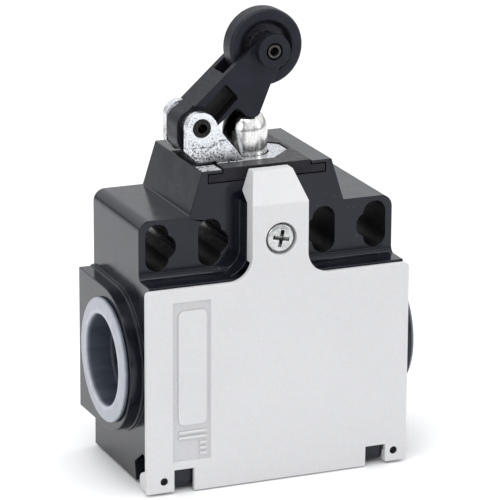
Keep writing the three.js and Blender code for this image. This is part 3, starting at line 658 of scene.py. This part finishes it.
# ---------------------------------------------------------------- front cover
def make_cover():
    def fillet(sx):
        return arc(sx * (TONGUE_HALF_W + 4.1), COVER_SHOULDER + 4.1, 4.1, 270, 180 if sx > 0 else 360, 12)
    outline = [
        (COVER_LEFT + 0.5, COVER_BOTTOM), (-20.2, COVER_BOTTOM), (-20.2, -39.6), (-16.4, -39.6), (-16.4, COVER_BOTTOM),
        (17.1, COVER_BOTTOM), (17.1, -40.2), (21.0, -40.2), (21.0, COVER_BOTTOM), (COVER_RIGHT - 0.5, COVER_BOTTOM),
        (COVER_RIGHT, COVER_BOTTOM + 0.5),
        *arc(COVER_RIGHT - 0.9, COVER_SHOULDER - 0.9, 0.9, 0, 90, 6),
        *fillet(1), (TONGUE_HALF_W, TONGUE_CREASE), (TONGUE_TOP_HALF_W, TONGUE_TOP),
        (-TONGUE_TOP_HALF_W, TONGUE_TOP), (-TONGUE_HALF_W, TONGUE_CREASE),
        *fillet(-1)[::-1],
        *arc(COVER_LEFT + 0.9, COVER_SHOULDER - 0.9, 0.9, 90, 180, 6),
        (COVER_LEFT, COVER_BOTTOM + 0.5),
    ]
    plate = prism("y", outline, COVER_FRONT, COVER_BACK)
    tongue = prism("y", [
        (-TONGUE_HALF_W, -3.0), (TONGUE_HALF_W, -3.0), (TONGUE_HALF_W, TONGUE_CREASE),
        (TONGUE_TOP_HALF_W, TONGUE_TOP), (-TONGUE_TOP_HALF_W, TONGUE_TOP), (-TONGUE_HALF_W, TONGUE_CREASE),
    ], COVER_FRONT, -23.2)
    side = prism("x", [
        (COVER_FRONT, -3.0), (-26.6, -3.0), (-26.6, 7.6), (-23.2, 9.0), (-23.2, TONGUE_TOP),
        (-25.6, TONGUE_TOP), (COVER_FRONT, TONGUE_CREASE),
    ], -8, 8)
    above = prism("x", [(COVER_FRONT - 1, TONGUE_CREASE), (COVER_FRONT, TONGUE_CREASE), (-25.6, TONGUE_TOP),
                        (-25.6, 20), (COVER_FRONT - 1, 20)], -8, 8)
    pan = cut(box(-20.6, 20.6, COVER_BACK - 0.1, -26.6, -35.7, -9.3), box(-19.4, 19.4, -30, -20, -34.5, -10.5))
    cover = join(plate, common(tongue, side))
    cover = cut(cover, above)
    cover = join(cover, pan)
    cover = cut(cover, box(-26, -20.2, -31, -22, -46, HINGE_Z - LUG_R), box(21.0, 26, -31, -22, -46, HINGE_Z - LUG_R))
    lug = [(COVER_FRONT, -39.0), (COVER_FRONT, -43.1), (COVER_FRONT + 0.4, HINGE_Z - LUG_R),
           *arc(HINGE_Y, HINGE_Z, LUG_R, 270, 430, 20), (COVER_BACK, -39.4), (COVER_BACK, -39.0)]
    cover = join(cover, prism("x", lug, COVER_LEFT + 0.35, -20.35), prism("x", lug, 21.05, COVER_RIGHT - 0.2))
    cover = cut(cover,
                rod("x", HINGE_Y, HINGE_Z, 0.98, -25.0, -20, 24), rod("x", HINGE_Y, HINGE_Z, 0.98, 20.8, 24.8, 24),
                rod("y", -22.15, -41.5, 0.7, -30, -27.9, 32), rod("y", 22.7, -41.6, 0.7, -30, -27.9, 32),
                rod("y", SCREW_X, SCREW_Z, 2.95, -31, -28.1, 56), rod("y", SCREW_X, SCREW_Z, 1.75, -31, -26, 32),
                box(-20.4, -13.25, -31, COVER_FRONT + 0.36, -38.2, -8.5))
    return shaded(rounded(cover, 0.16, 3, split=True, facing=0.5))


piece("cover_shell", make_cover(), M["cover"], "cover", ["front_cover"])

# blank raised panel and short ribs in the recess on the cover, with no lettering
def make_label():
    y0, y1 = COVER_FRONT + 0.06, COVER_FRONT + 0.42
    parts = []
    r = 1.1
    parts.append(prism("y", arc(-15.05, -11.2, r, 0, 90, 8) + arc(-18.3, -11.2, r, 90, 180, 8)
                       + arc(-18.3, -30.3, r, 180, 270, 8) + arc(-15.05, -30.3, r, 270, 360, 8), y0, y1))
    for z in (-33.0, -34.0):
        parts.append(box(-19.4, -14.0, y0, y1, z, z + 0.5))
    for z in (-35.2, -36.2, -37.2):
        parts.append(box(-15.4, -14.0, y0, y1, z, z + 0.5))
    out = parts[0]
    out = join(out, *parts[1:])
    return shaded(rounded(out, 0.09, 2))


piece("cover_label_relief", make_label(), M["cover"], "cover")


# --------------------------------------------------------------- cover screw
def make_screw():
    head = turned("y", [(0, -29.2), (0.9, -29.19), (1.7, -29.13), (2.2, -29.02), (2.5, -28.86), (2.68, -28.62), (2.72, -28.4),
                        (2.66, -28.28), (1.42, -28.15), (1.42, -24.4), (1.3, -24.2), (1.0, -22.75), (0.8, -22.6), (0, -22.6)],
                  (SCREW_X, 0, SCREW_Z), 72)
    tools = []
    for turn in (12, 102):
        a = turn * DEG
        ux, uz = math.cos(a), -math.sin(a)
        def at(l, w):
            return (SCREW_X + ux * l - uz * w, SCREW_Z + uz * l + ux * w)
        # each arm of the cross narrows and gets shallower outwards
        hl, hw = 1.62, 0.36
        verts, faces = [], []
        for (y, l, w) in ((-29.6, hl, hw), (-28.85, hl - 0.1, hw * 0.9), (-27.9, 0.6, hw * 0.62)):
            for (sl, sw) in ((-1, -1), (1, -1), (1, 1), (-1, 1)):
                px, pz = at(sl * l, sw * w)
                verts.append((px, y, pz))
        faces = [[0, 1, 2, 3], [8, 9, 10, 11]]
        for k in (0, 4):
            for i in range(4):
                j = (i + 1) % 4
                faces.append([k + i, k + j, k + 4 + j, k + 4 + i])
        tools.append(from_lists(verts, faces))
    for turn in (57, 147):
        a = turn * DEG
        ux, uz = math.cos(a), -math.sin(a)
        tools.append(from_lists(
            [(SCREW_X + ux * l - uz * w, y, SCREW_Z + uz * l + ux * w)
             for (y, hl, hw) in ((-29.6, 0.62, 0.22), (-28.55, 0.3, 0.12))
             for (l, w) in ((-hl, -hw), (hl, -hw), (hl, hw), (-hl, hw))],
            [[0, 1, 2, 3], [4, 5, 6, 7], [0, 1, 5, 4], [1, 2, 6, 5], [2, 3, 7, 6], [3, 0, 4, 7]]))
    return shaded(rounded(cut(head, *tools), 0.05, 2))


piece("cover_screw_detailed", make_screw(), M["screw"], "cover_screw", ["cover_screw"])


# ---------------------------------------------------------------- conduit caps
def make_cap(sx):
    prof = [(0, 17.95), (0, 18.8), (6.6, 18.8), (7.1, 19.0), (7.3, 19.5), (7.45, 23.4), (7.75, 23.6), (7.9, 23.9),
            (8.2, 27.2), (8.3, 28.0), (8.42, 28.25), (8.62, 28.4), (8.9, 28.42), (9.15, 28.33), (9.4, 28.26), (9.9, 28.25),
            (10.95, 28.24), (11.2, 28.17), (11.35, 28.02), (11.4, 27.8), (11.38, 27.55), (11.28, 27.45),
            (9.45, 27.45), (9.3, 27.3), (9.22, 26.6), (8.55, 18.1), (8.4, 17.95)]
    me = turned("x", [(r, sx * h) for r, h in (prof if sx > 0 else prof[::-1])], (0, COND_Y, COND_Z), 112)
    me.transform(Matrix.Identity(4))
    return shaded(me)


piece("conduit_cap_left_cup", make_cap(-1), M["cap"], "body", ["conduit_cap_left"])
piece("conduit_cap_right_cup", make_cap(1), M["cap"], "body", ["conduit_cap_right"])


# ------------------------------------------------------------------ head plate
def make_plate():
    plate = prism("y", [
        (-11.2, 10.85), (11.2, 10.85), (11.2, 12.35), (8.4, 12.35), (8.4, 13.3), (-8.4, 13.3), (-8.4, 12.35), (-11.2, 12.35),
    ], -23.0, -0.8)
    seat = [(-8.5, -19.35), (2.75, -19.35), (7.6, -14.5), (7.6, -10.5), (2.75, -5.65), (-8.5, -5.65)]
    plate = cut(plate, prism("z", seat, 12.15, 14), rod("z", PLUNGER_X, YC, PLUNGER_R + 0.2, 10, 14, 72))
    return shaded(rounded(plate, 0.12, 3))


piece("head_plate_slide", make_plate(), M["plate"], "body", ["head_plate"])


# --------------------------------------------------------------- lever bracket
def make_bracket():
    base = prism("z", [(-7.9, -19.2), (2.7, -19.2), (7.45, -14.45), (7.45, -10.55), (2.7, -5.8), (-7.9, -5.8)], 12.2, 13.1)
    ear = [(-11.73, 13.45), (-7.9, 13.45), (-7.9, 12.2), (-2.9, 12.2), (-2.9, 13.2), (-3.48, 14.18), (-4.3, 15.35),
           (-5.8, 17.17), (-6.7, 18.4), (-7.5, 19.7), (-8.05, 20.9),
           *arc(PIVOT_X, PIVOT_Z, 2.8, 28, 180, 28), (-13.49, 15.37)]
    yo = EAR_GAP + EAR_T
    br = join(base, prism("y", ear, YC - yo + 0.22, YC - EAR_GAP), prism("y", ear, YC + EAR_GAP, YC + yo - 0.22))
    # the lower part of each ear stands slightly proud, up to a stepped line
    foot = [(-13.49, 15.37), (-13.3, 16.26), (-8.7, 16.17), (-8.2, 16.45), (-7.75, 16.95), (-7.3, 17.17), (-5.8, 17.17),
            (-4.3, 15.35), (-3.48, 14.18), (-2.9, 13.2), (-2.9, 12.2), (-7.9, 12.2), (-7.9, 13.45), (-11.73, 13.45)]
    br = join(br, prism("y", foot, YC - yo, YC - yo + 0.5), prism("y", foot, YC + yo - 0.5, YC + yo))
    br = cut(br, rod("y", PIVOT_X, PIVOT_Z, 1.66, -25, 0, 48), rod("z", PLUNGER_X, YC, PLUNGER_R + 0.2, 10, 14, 72))
    return shaded(rounded(br, 0.1, 3))


piece("bracket_zinc", make_bracket(), M["zinc"], "body", ["lever_bracket"])


# ------------------------------------------------------------------ lever pins
def tube(axis, u, v, ro, ri, h0, h1, c=0.12, n=64):
    origin = {"x": (0, u, v), "y": (u, 0, v), "z": (u, v, 0)}[axis]
    k = c * 0.3
    prof = [(ri, h0 + c), (ri + k, h0 + k), (ri + c, h0), (ro - c, h0), (ro - k, h0 + k), (ro, h0 + c),
            (ro, h1 - c), (ro - k, h1 - k), (ro - c, h1), (ri + c, h1), (ri + k, h1 - k), (ri, h1 - c)]
    return shaded(turned(axis, prof, origin, n))


piece("lever_pin_rivet", tube("y", PIVOT_X, PIVOT_Z, 1.6, 0.8, YC - 6.45, YC + 6.45, 0.16), M["blacksteel"], "body", ["lever_pin"])
piece("roller_pin_rivet", tube("y", ROLLER_X, ROLLER_Z, 1.26, 0.78, YC - 5.62, YC + 5.62, 0.14), M["ring"], "lever", ["roller_pin"])


# ---------------------------------------------------------------- roller lever
def make_lever():
    outline = [
        *arc(ROLLER_X, ROLLER_Z, 2.75, 131.8, -22.2, 20),
        (5.1, 28.5), (3.56, 25.94), (2.42, 23.1), (1.5, 20.85), (1.32, 20.5), (1.05, 20.24), (0.7, 20.1), (0.3, 20.05),
        (-0.1, 20.06), (-0.5, 20.14), (-0.85, 20.27), (-1.15, 20.46),
        (-1.83, 21.11), (-2.45, 21.72), (-2.8, 21.92), (-3.18, 21.97), (-3.5, 21.82), (-3.95, 21.35), (-6.44, 19.34), (-8.7, 17.1),
        *arc(-10.9, 17.4, 3.2, -35, -180, 16), *arc(-10.9, 19.3, 3.2, 180, 128, 6), (-12.0, 22.26),
    ]
    lever = prism("y", outline, YC - LEVER_HALF_W, YC + LEVER_HALF_W)
    lever = join(lever, rod("y", ROLLER_X, ROLLER_Z, 3.02, YC - BOSS_OUT, YC - LEVER_HALF_W + 0.5, 64),
                 rod("y", ROLLER_X, ROLLER_Z, 3.02, YC + LEVER_HALF_W - 0.5, YC + BOSS_OUT, 64))
    g = FORK_HALF_GAP
    lever = cut(lever, rod("y", ROLLER_X, ROLLER_Z, 7.7, YC - g, YC + g, 72),
                prism("y", [(-5.35, 28.6), (-3.5, 26.55), (2, 28), (2, 36), (-8.4, 31.6)], YC - g, YC + g))
    pocket = [(-5.69, 26.1), (-5.45, 26.4), (-5.1, 26.45), (-4.8, 26.27), (-3.0, 24.3), (-2.85, 24.0), (-2.9, 23.7),
              (-7.7, 18.9), (-9.9, 21.9)]
    lever = cut(lever, prism("y", pocket, YC - 5, YC - 1.0), prism("y", pocket, YC + 1.0, YC + 5))
    barrel = arc(-10.9, 17.4, 3.6, 0, -180, 16) + arc(-10.9, 19.5, 3.6, 180, 0, 16)
    for a, b in ((YC - 5, YC - BARREL_HALF_W), (YC + BARREL_HALF_W, YC + 5)):
        lever = cut(lever, prism("y", barrel, a, b))
    lever = cut(lever, rod("y", PIVOT_X, PIVOT_Z, 1.7, YC - 7, YC + 7, 40), rod("y", ROLLER_X, ROLLER_Z, 1.34, YC - 7, YC + 7, 48),
                rod("y", ROLLER_X, ROLLER_Z, 1.55, YC - 7, YC - BOSS_OUT + 0.8, 48),
                rod("y", ROLLER_X, ROLLER_Z, 1.55, YC + BOSS_OUT - 0.8, YC + 7, 48))
    # hollow under the nose in which the plunger's dome sits, swept over the lever's travel
    for turn in (0, 5.5, 11, 16.5, 22):
        a = turn * DEG
        x, z = PLUNGER_X - PIVOT_X, PLUNGER_DOME_Z - PIVOT_Z - PLUNGER_RATIO * a
        ball = [(max(r, 0.0), h) for r, h in arc(0, 0, PLUNGER_R + 0.18, -90, 90, 32)]
        centre = (PIVOT_X + x * math.cos(a) - z * math.sin(a), YC, PIVOT_Z + x * math.sin(a) + z * math.cos(a))
        lever = cut(lever, turned("z", ball, centre, 72))
    return shaded(rounded(lever, 0.14, 3, 32.0))


LEVER = piece("lever_arm", make_lever(), M["lever"], "lever", ["roller_lever"])
# the pockets in the lever's sides are as moulded, duller than the skin, and painted a little darker as shade
LEVER.data.materials.append(M["bore"])
for face in LEVER.data.polygons:
    fx, fy, fz = (c * 1000 for c in face.center)
    if 0.9 < abs(fy - YC) < 3.3 and -9.8 < fx < -2.7 and 18.6 < fz < 26.6 and face.normal.z < 0.9:
        if abs(fx - PLUNGER_X) > 2.8 and fz > 18.6 + (fx + 9.8) * 0.4:
            face.material_index = 1


# ---------------------------------------------------------------------- roller
def make_roller():
    w, r = ROLLER_HALF_W, ROLLER_R
    half = [(1.38, w - 0.2), (1.48, w - 0.1), (2.4, w - 0.1), (2.5, w - 0.2), (2.62, 0.98), (2.75, 0.72), (2.95, 0.6),
            (3.9, 0.6), (4.15, 0.66), (4.35, 0.80), (4.5, 1.02), (4.62, 1.35), (4.74, 1.66), (4.9, 1.86), (5.12, w - 0.07),
            (5.4, w - 0.015), (5.7, w), (6.3, w), (6.52, w - 0.03), (6.72, w - 0.13), (6.87, w - 0.3), (6.96, w - 0.5), (r, w - 0.75), (r, 0.0)]
    prof = half + [(a, -b) for a, b in half[::-1]][1:]
    me = turned("y", [(a, YC + b) for a, b in prof], (ROLLER_X, 0, ROLLER_Z), 128)
    return shaded(me)


piece("roller_wheel", make_roller(), M["roller"], "roller", ["roller"])


# --------------------------------------------------------------------- plunger
def make_plunger():
    prof = [(0, -9.6), (1.75, -9.6), (1.9, -9.45), (1.9, -1.5), (3.6, -1.5), (3.7, -1.4), (3.7, 0.5), (3.6, 0.6),
            (PLUNGER_NECK_R, 0.6), (PLUNGER_NECK_R, 11.8), (PLUNGER_R - 0.1, 11.8), (PLUNGER_R - 0.03, 11.83), (PLUNGER_R, 11.92)]
    prof += [(max(a, 0.0), b) for a, b in arc(0, PLUNGER_DOME_Z, PLUNGER_R, 0, 90, 32)]
    return shaded(turned("z", prof, (PLUNGER_X, YC, 0), 96))


piece("plunger_polished", make_plunger(), M["nickel"], "plunger", ["plunger"])


# --------------------------------------------------------------------- springs
def spring(name, cx, cy, r, wire, z0, z1, turns, body, replaces, squash=None):
    """A closed-end helix of round wire, as a mesh."""
    steps, sides = int(turns * 40), 12
    lo, hi = z0 + wire / 2 + 0.02, z1 - wire / 2 - 0.02
    centre = []
    for i in range(steps + 1):
        t = i / steps
        s = t * 0.35 if t < 0.12 else (1 - (1 - t) * 0.35 if t > 0.88 else 0.042 + (t - 0.12) * 0.916 / 0.76)
        a = 2 * math.pi * turns * t
        centre.append(Vector((cx + r * math.cos(a), cy + r * math.sin(a), lo + (hi - lo) * s)))
    verts, faces = [], []
    for i, c in enumerate(centre):
        along = (centre[min(i + 1, steps)] - centre[max(i - 1, 0)]).normalized()
        out = Vector((c.x - cx, c.y - cy, 0)).normalized()
        up = along.cross(out).normalized()
        out = up.cross(along).normalized()
        for k in range(sides):
            q = 2 * math.pi * k / sides
            verts.append(tuple(c + out * (wire / 2 * math.cos(q)) + up * (wire / 2 * math.sin(q))))
    for i in range(steps):
        for k in range(sides):
            j = (k + 1) % sides
            faces.append([i * sides + k, i * sides + j, (i + 1) * sides + j, (i + 1) * sides + k])
    faces.append(list(range(sides)))
    faces.append([steps * sides + k for k in range(sides)][::-1])
    ob = piece(name, shaded(from_lists(verts, faces)), M["steel"], body, replaces)
    if squash:
        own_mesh(ob)
    return ob


spring("plunger_spring_coil", PLUNGER_X, YC, 3.2, 0.6, -7.95, -1.55, 3, "body", ["plunger_spring"], ("plunger_slide", -7.95, 0.31))
spring("rod_return_spring_coil", BLOCK_X, YC, 1.7, 0.42, -33.95, -28.35, 3.5, "body", ["rod_return_spring"], ("push_rod_slide", -33.95, 0.24))
spring("nc_contact_spring_coil", BLOCK_X, YC, 1.05, 0.36, -21.58, -18.65, 3, "push_rod", ["nc_contact_spring"])
spring("no_contact_spring_coil", BLOCK_X, YC, 1.05, 0.36, -25.75, -22.92, 3, "no_bridge", ["no_contact_spring"], ("no_bridge_slide", -25.75, 0.54))


# ------------------------------------------- carried-over pieces: edges, finish
def dress(node, mat, width=None):
    ob = NODES[node]
    ob.data.materials.clear()
    ob.data.materials.append(mat)
    weld = ob.modifiers.new("weld", "WELD")
    weld.merge_threshold = 2e-6
    if width:
        bev = ob.modifiers.new("edge", "BEVEL")
        bev.width = width / 1000
        bev.segments = 2
        bev.limit_method = "ANGLE"
        bev.angle_limit = 30 * DEG
        bev.use_clamp_overlap = True
        bev.harden_normals = False


dress("cover_gasket", M["rubber"])
dress("cover_insert", M["brass"], 0.08)
dress("hinge_pin_left", M["steel"], 0.1)
dress("hinge_pin_right", M["steel"], 0.1)
dress("lever_spacer_front", M["steel"], 0.06)
dress("lever_spacer_rear", M["steel"], 0.06)
dress("plunger_bush", M["brass"], 0.1)
dress("plunger_seal", M["rubber"], 0.06)
dress("spring_seat", M["steel"], 0.08)
dress("contact_block_base", M["cream"], 0.12)
dress("contact_block_cover", M["cream"], 0.12)
dress("contact_push_rod", M["red"], 0.1)
dress("nc_bridge", M["silver"], 0.08)
dress("no_bridge", M["silver"], 0.08)
for kind in ("nc", "no"):
    for side in ("left", "right"):
        dress(f"terminal_{kind}_{side}", M["brass"], 0.08)
        dress(f"clamp_plate_{kind}_{side}", M["zinc"], 0.08)
        dress(f"terminal_screw_{kind}_{side}", M["steel"], 0.06)
dress("block_screw_left", M["steel"], 0.06)
dress("block_screw_right", M["steel"], 0.06)


# ------------------------------------------------------- floor, light, camera
def make_floor():
    s = Mat("pale_floor")
    near = s.ramp(s.noise(0.01, 3), (0.3, (0.875, 0.875, 0.88)), (0.7, (0.905, 0.905, 0.91)))
    dx, dy = s.axis("X"), s.axis("Y")
    far = s.span(s.math("SQRT", s.math("ADD", s.math("MULTIPLY", dx, dx), s.math("MULTIPLY", dy, dy)), 0.0), 1000.0, 2200.0)
    s.colour(s.mix(far, near, (0.40, 0.40, 0.405)))
    s.roughness(s.noise(0.02, 2), 0.65, 0.75)
    me = from_lists([(-8, -8, -0.04410), (8, -8, -0.04410), (8, 8, -0.04410), (-8, 8, -0.04410)], [[0, 1, 2, 3]])
    me.name = "studio_floor"
    ob = bpy.data.objects.new("studio_floor", me)
    SCENE.collection.objects.link(ob)
    me.materials.append(s.m)


make_floor()


def make_world():
    w = bpy.data.worlds.new("studio")
    SCENE.world = w
    w.use_nodes = True
    t = w.node_tree
    t.nodes.clear()
    out = t.nodes.new("ShaderNodeOutputWorld")
    bg = t.nodes.new("ShaderNodeBackground")
    tc = t.nodes.new("ShaderNodeTexCoord")
    sep = t.nodes.new("ShaderNodeSeparateXYZ")
    ramp = t.nodes.new("ShaderNodeValToRGB")
    el = ramp.color_ramp.elements
    while len(el) < 5:
        el.new(0.5)
    for e, (p, c) in zip(el, ((0.0, 0.42), (0.10, 0.46), (0.25, 1.0), (0.5, 1.05), (1.0, 0.9))):
        e.position = p
        e.color = (c * 0.985, c * 0.992, c * 1.01, 1)
    t.links.new(tc.outputs["Generated"], sep.inputs[0])
    t.links.new(sep.outputs["Z"], ramp.inputs[0])
    t.links.new(ramp.outputs[0], bg.inputs["Color"])
    bg.inputs["Strength"].default_value = 1.0
    t.links.new(bg.outputs[0], out.inputs[0])


make_world()


def area(name, loc, target, sx, sy, power, colour=(1, 1, 1)):
    data = bpy.data.lights.new(name, "AREA")
    data.shape = "RECTANGLE"
    data.size, data.size_y, data.energy, data.color = sx, sy, power, colour
    ob = bpy.data.objects.new(name, data)
    SCENE.collection.objects.link(ob)
    ob.location = loc
    ob.rotation_euler = (Vector(target) - Vector(loc)).to_track_quat("-Z", "Y").to_euler()


area("overhead_softbox", (-0.10, -0.15, 0.95), (0, 0, -0.02), 0.9, 0.9, 5.2)
area("left_softbox", (-0.70, -0.75, 0.42), (0, -0.01, 0), 0.35, 0.6, 1.9, (1.0, 0.995, 0.985))
area("right_softbox", (0.85, -0.55, 0.40), (0, -0.01, 0), 0.3, 0.6, 1.3, (0.985, 0.99, 1.0))


def make_camera():
    yaw, pitch, roll = 22.727 * DEG, 16.823 * DEG, 0.292 * DEG
    right = Vector((math.cos(yaw), -math.sin(yaw), 0))
    fw = Vector((math.cos(pitch) * math.sin(yaw), math.cos(pitch) * math.cos(yaw), -math.sin(pitch)))
    up = right.cross(fw)
    c, s = math.cos(roll), math.sin(roll)
    r2, u2 = right * c + up * s, up * c - right * s
    data = bpy.data.cameras.new("camera")
    data.sensor_width = 36.0
    data.lens = 3400.0 * 36.0 / 500.0
    data.clip_start = 0.02
    data.clip_end = 60.0
    ob = bpy.data.objects.new("camera", data)
    SCENE.collection.objects.link(ob)
    m = Matrix(((r2.x, u2.x, -fw.x, -0.227119), (r2.y, u2.y, -fw.y, -0.557429), (r2.z, u2.z, -fw.z, 0.172918), (0, 0, 0, 1)))
    ob.matrix_world = m
    SCENE.camera = ob


make_camera()
SCENE.view_settings.view_transform = "Standard"
SCENE.view_settings.look = "None"
SCENE.view_settings.exposure = 0.0
SCENE.view_settings.gamma = 1.0
